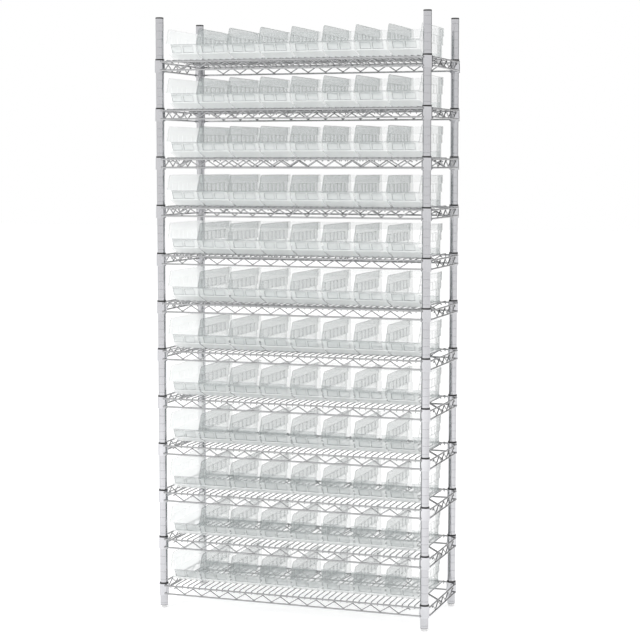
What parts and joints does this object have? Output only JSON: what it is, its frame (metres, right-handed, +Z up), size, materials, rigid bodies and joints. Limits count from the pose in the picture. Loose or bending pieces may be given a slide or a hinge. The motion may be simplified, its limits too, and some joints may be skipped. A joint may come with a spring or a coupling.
{
  "type": "wire bin shelving",
  "caption": "Free-standing wire shelving on grooved round posts: welded wire shelves wedged on split sleeves, levelling feet, and rows of clear open-front bins that slide out.",
  "frame": {"origin": "on the floor, midway between the four posts", "axes": "+X along the width to the right seen from the front, +Y to the rear, -Y is the open front, +Z up"},
  "size_m": [0.9114, 0.3554, 1.89],
  "materials": {
    "post_chrome": "polished",
    "wire_chrome": "polished",
    "sleeve_plastic": "satin",
    "cap_plastic": "satin",
    "insert_plastic": "satin",
    "foot_steel": "satin",
    "bin_clear": "gloss"
  },
  "bodies": {
    "frame": {"post_front_left": "post_chrome", "post_front_right": "post_chrome", "post_rear_left": "post_chrome", "post_rear_right": "post_chrome", "sleeves_01_to_03": "sleeve_plastic", "sleeves_04_to_06": "sleeve_plastic", "sleeves_07_to_09": "sleeve_plastic", "sleeves_10_to_12": "sleeve_plastic", "post_caps": "cap_plastic", "post_inserts": "insert_plastic"},
    "foot_front_left": {"foot_front_left": "foot_steel"},
    "foot_front_right": {"foot_front_right": "foot_steel"},
    "foot_rear_left": {"foot_rear_left": "foot_steel"},
    "foot_rear_right": {"foot_rear_right": "foot_steel"},
    "shelf_01": {"shelf_01": "wire_chrome"},
    "shelf_02": {"shelf_02": "wire_chrome"},
    "shelf_03": {"shelf_03": "wire_chrome"},
    "shelf_04": {"shelf_04": "wire_chrome"},
    "shelf_05": {"shelf_05": "wire_chrome"},
    "shelf_06": {"shelf_06": "wire_chrome"},
    "shelf_07": {"shelf_07": "wire_chrome"},
    "shelf_08": {"shelf_08": "wire_chrome"},
    "shelf_09": {"shelf_09": "wire_chrome"},
    "shelf_10": {"shelf_10": "wire_chrome"},
    "shelf_11": {"shelf_11": "wire_chrome"},
    "shelf_12": {"shelf_12": "wire_chrome"},
    "bin_06_1": {"bin_06_1": "bin_clear"},
    "bin_06_2": {"bin_06_2": "bin_clear"},
    "bin_06_3": {"bin_06_3": "bin_clear"},
    "bin_06_4": {"bin_06_4": "bin_clear"},
    "bin_06_5": {"bin_06_5": "bin_clear"},
    "bin_06_6": {"bin_06_6": "bin_clear"},
    "bin_06_7": {"bin_06_7": "bin_clear"},
    "bin_06_8": {"bin_06_8": "bin_clear"},
    "bin_07_1": {"bin_07_1": "bin_clear"},
    "bin_07_2": {"bin_07_2": "bin_clear"},
    "bin_07_3": {"bin_07_3": "bin_clear"},
    "bin_07_4": {"bin_07_4": "bin_clear"},
    "bin_07_5": {"bin_07_5": "bin_clear"},
    "bin_07_6": {"bin_07_6": "bin_clear"},
    "bin_07_7": {"bin_07_7": "bin_clear"},
    "bin_07_8": {"bin_07_8": "bin_clear"},
    "bin_08_1": {"bin_08_1": "bin_clear"},
    "bin_08_2": {"bin_08_2": "bin_clear"},
    "bin_08_3": {"bin_08_3": "bin_clear"},
    "bin_08_4": {"bin_08_4": "bin_clear"},
    "bin_08_5": {"bin_08_5": "bin_clear"},
    "bin_08_6": {"bin_08_6": "bin_clear"},
    "bin_08_7": {"bin_08_7": "bin_clear"},
    "bin_08_8": {"bin_08_8": "bin_clear"},
    "bin_row_01": {"bin_row_01": "bin_clear"},
    "bin_row_02": {"bin_row_02": "bin_clear"},
    "bin_row_03": {"bin_row_03": "bin_clear"},
    "bin_row_04": {"bin_row_04": "bin_clear"},
    "bin_row_05": {"bin_row_05": "bin_clear"},
    "bin_row_09": {"bin_row_09": "bin_clear"},
    "bin_row_10": {"bin_row_10": "bin_clear"},
    "bin_row_11": {"bin_row_11": "bin_clear"},
    "bin_row_12": {"bin_row_12": "bin_clear"}
  },
  "joints": [
    {"name": "foot_front_left_height", "type": "slide", "parent": "frame", "child": "foot_front_left", "axis": [0, 0, -1], "range_m": [0, 0.015]},
    {"name": "foot_front_right_height", "type": "slide", "parent": "frame", "child": "foot_front_right", "axis": [0, 0, -1], "range_m": [0, 0.015]},
    {"name": "foot_rear_left_height", "type": "slide", "parent": "frame", "child": "foot_rear_left", "axis": [0, 0, -1], "range_m": [0, 0.015]},
    {"name": "foot_rear_right_height", "type": "slide", "parent": "frame", "child": "foot_rear_right", "axis": [0, 0, -1], "range_m": [0, 0.015]},
    {"name": "shelf_01_lift", "type": "slide", "parent": "frame", "child": "shelf_01", "axis": [0, 0, 1], "range_m": [0, 0.0254]},
    {"name": "shelf_02_lift", "type": "slide", "parent": "frame", "child": "shelf_02", "axis": [0, 0, 1], "range_m": [0, 0.0254]},
    {"name": "shelf_03_lift", "type": "slide", "parent": "frame", "child": "shelf_03", "axis": [0, 0, 1], "range_m": [0, 0.0254]},
    {"name": "shelf_04_lift", "type": "slide", "parent": "frame", "child": "shelf_04", "axis": [0, 0, 1], "range_m": [0, 0.0254]},
    {"name": "shelf_05_lift", "type": "slide", "parent": "frame", "child": "shelf_05", "axis": [0, 0, 1], "range_m": [0, 0.0254]},
    {"name": "shelf_06_lift", "type": "slide", "parent": "frame", "child": "shelf_06", "axis": [0, 0, 1], "range_m": [0, 0.0254]},
    {"name": "shelf_07_lift", "type": "slide", "parent": "frame", "child": "shelf_07", "axis": [0, 0, 1], "range_m": [0, 0.0254]},
    {"name": "shelf_08_lift", "type": "slide", "parent": "frame", "child": "shelf_08", "axis": [0, 0, 1], "range_m": [0, 0.0254]},
    {"name": "shelf_09_lift", "type": "slide", "parent": "frame", "child": "shelf_09", "axis": [0, 0, 1], "range_m": [0, 0.0254]},
    {"name": "shelf_10_lift", "type": "slide", "parent": "frame", "child": "shelf_10", "axis": [0, 0, 1], "range_m": [0, 0.0254]},
    {"name": "shelf_11_lift", "type": "slide", "parent": "frame", "child": "shelf_11", "axis": [0, 0, 1], "range_m": [0, 0.0254]},
    {"name": "shelf_12_lift", "type": "slide", "parent": "frame", "child": "shelf_12", "axis": [0, 0, 1], "range_m": [0, 0.0254]},
    {"name": "bin_06_1_slide", "type": "slide", "parent": "shelf_06", "child": "bin_06_1", "axis": [0, -1, 0], "range_m": [0, 0.3]},
    {"name": "bin_06_2_slide", "type": "slide", "parent": "shelf_06", "child": "bin_06_2", "axis": [0, -1, 0], "range_m": [0, 0.3]},
    {"name": "bin_06_3_slide", "type": "slide", "parent": "shelf_06", "child": "bin_06_3", "axis": [0, -1, 0], "range_m": [0, 0.3]},
    {"name": "bin_06_4_slide", "type": "slide", "parent": "shelf_06", "child": "bin_06_4", "axis": [0, -1, 0], "range_m": [0, 0.3]},
    {"name": "bin_06_5_slide", "type": "slide", "parent": "shelf_06", "child": "bin_06_5", "axis": [0, -1, 0], "range_m": [0, 0.3]},
    {"name": "bin_06_6_slide", "type": "slide", "parent": "shelf_06", "child": "bin_06_6", "axis": [0, -1, 0], "range_m": [0, 0.3]},
    {"name": "bin_06_7_slide", "type": "slide", "parent": "shelf_06", "child": "bin_06_7", "axis": [0, -1, 0], "range_m": [0, 0.3]},
    {"name": "bin_06_8_slide", "type": "slide", "parent": "shelf_06", "child": "bin_06_8", "axis": [0, -1, 0], "range_m": [0, 0.3]},
    {"name": "bin_07_1_slide", "type": "slide", "parent": "shelf_07", "child": "bin_07_1", "axis": [0, -1, 0], "range_m": [0, 0.3]},
    {"name": "bin_07_2_slide", "type": "slide", "parent": "shelf_07", "child": "bin_07_2", "axis": [0, -1, 0], "range_m": [0, 0.3]},
    {"name": "bin_07_3_slide", "type": "slide", "parent": "shelf_07", "child": "bin_07_3", "axis": [0, -1, 0], "range_m": [0, 0.3]},
    {"name": "bin_07_4_slide", "type": "slide", "parent": "shelf_07", "child": "bin_07_4", "axis": [0, -1, 0], "range_m": [0, 0.3]},
    {"name": "bin_07_5_slide", "type": "slide", "parent": "shelf_07", "child": "bin_07_5", "axis": [0, -1, 0], "range_m": [0, 0.3]},
    {"name": "bin_07_6_slide", "type": "slide", "parent": "shelf_07", "child": "bin_07_6", "axis": [0, -1, 0], "range_m": [0, 0.3]},
    {"name": "bin_07_7_slide", "type": "slide", "parent": "shelf_07", "child": "bin_07_7", "axis": [0, -1, 0], "range_m": [0, 0.3]},
    {"name": "bin_07_8_slide", "type": "slide", "parent": "shelf_07", "child": "bin_07_8", "axis": [0, -1, 0], "range_m": [0, 0.3]},
    {"name": "bin_08_1_slide", "type": "slide", "parent": "shelf_08", "child": "bin_08_1", "axis": [0, -1, 0], "range_m": [0, 0.3]},
    {"name": "bin_08_2_slide", "type": "slide", "parent": "shelf_08", "child": "bin_08_2", "axis": [0, -1, 0], "range_m": [0, 0.3]},
    {"name": "bin_08_3_slide", "type": "slide", "parent": "shelf_08", "child": "bin_08_3", "axis": [0, -1, 0], "range_m": [0, 0.3]},
    {"name": "bin_08_4_slide", "type": "slide", "parent": "shelf_08", "child": "bin_08_4", "axis": [0, -1, 0], "range_m": [0, 0.3]},
    {"name": "bin_08_5_slide", "type": "slide", "parent": "shelf_08", "child": "bin_08_5", "axis": [0, -1, 0], "range_m": [0, 0.3]},
    {"name": "bin_08_6_slide", "type": "slide", "parent": "shelf_08", "child": "bin_08_6", "axis": [0, -1, 0], "range_m": [0, 0.3]},
    {"name": "bin_08_7_slide", "type": "slide", "parent": "shelf_08", "child": "bin_08_7", "axis": [0, -1, 0], "range_m": [0, 0.3]},
    {"name": "bin_08_8_slide", "type": "slide", "parent": "shelf_08", "child": "bin_08_8", "axis": [0, -1, 0], "range_m": [0, 0.3]},
    {"name": "bin_row_01_slide", "type": "slide", "parent": "shelf_01", "child": "bin_row_01", "axis": [0, -1, 0], "range_m": [0, 0.3]},
    {"name": "bin_row_02_slide", "type": "slide", "parent": "shelf_02", "child": "bin_row_02", "axis": [0, -1, 0], "range_m": [0, 0.3]},
    {"name": "bin_row_03_slide", "type": "slide", "parent": "shelf_03", "child": "bin_row_03", "axis": [0, -1, 0], "range_m": [0, 0.3]},
    {"name": "bin_row_04_slide", "type": "slide", "parent": "shelf_04", "child": "bin_row_04", "axis": [0, -1, 0], "range_m": [0, 0.3]},
    {"name": "bin_row_05_slide", "type": "slide", "parent": "shelf_05", "child": "bin_row_05", "axis": [0, -1, 0], "range_m": [0, 0.3]},
    {"name": "bin_row_09_slide", "type": "slide", "parent": "shelf_09", "child": "bin_row_09", "axis": [0, -1, 0], "range_m": [0, 0.3]},
    {"name": "bin_row_10_slide", "type": "slide", "parent": "shelf_10", "child": "bin_row_10", "axis": [0, -1, 0], "range_m": [0, 0.3]},
    {"name": "bin_row_11_slide", "type": "slide", "parent": "shelf_11", "child": "bin_row_11", "axis": [0, -1, 0], "range_m": [0, 0.3]},
    {"name": "bin_row_12_slide", "type": "slide", "parent": "shelf_12", "child": "bin_row_12", "axis": [0, -1, 0], "range_m": [0, 0.3]}
  ]
}
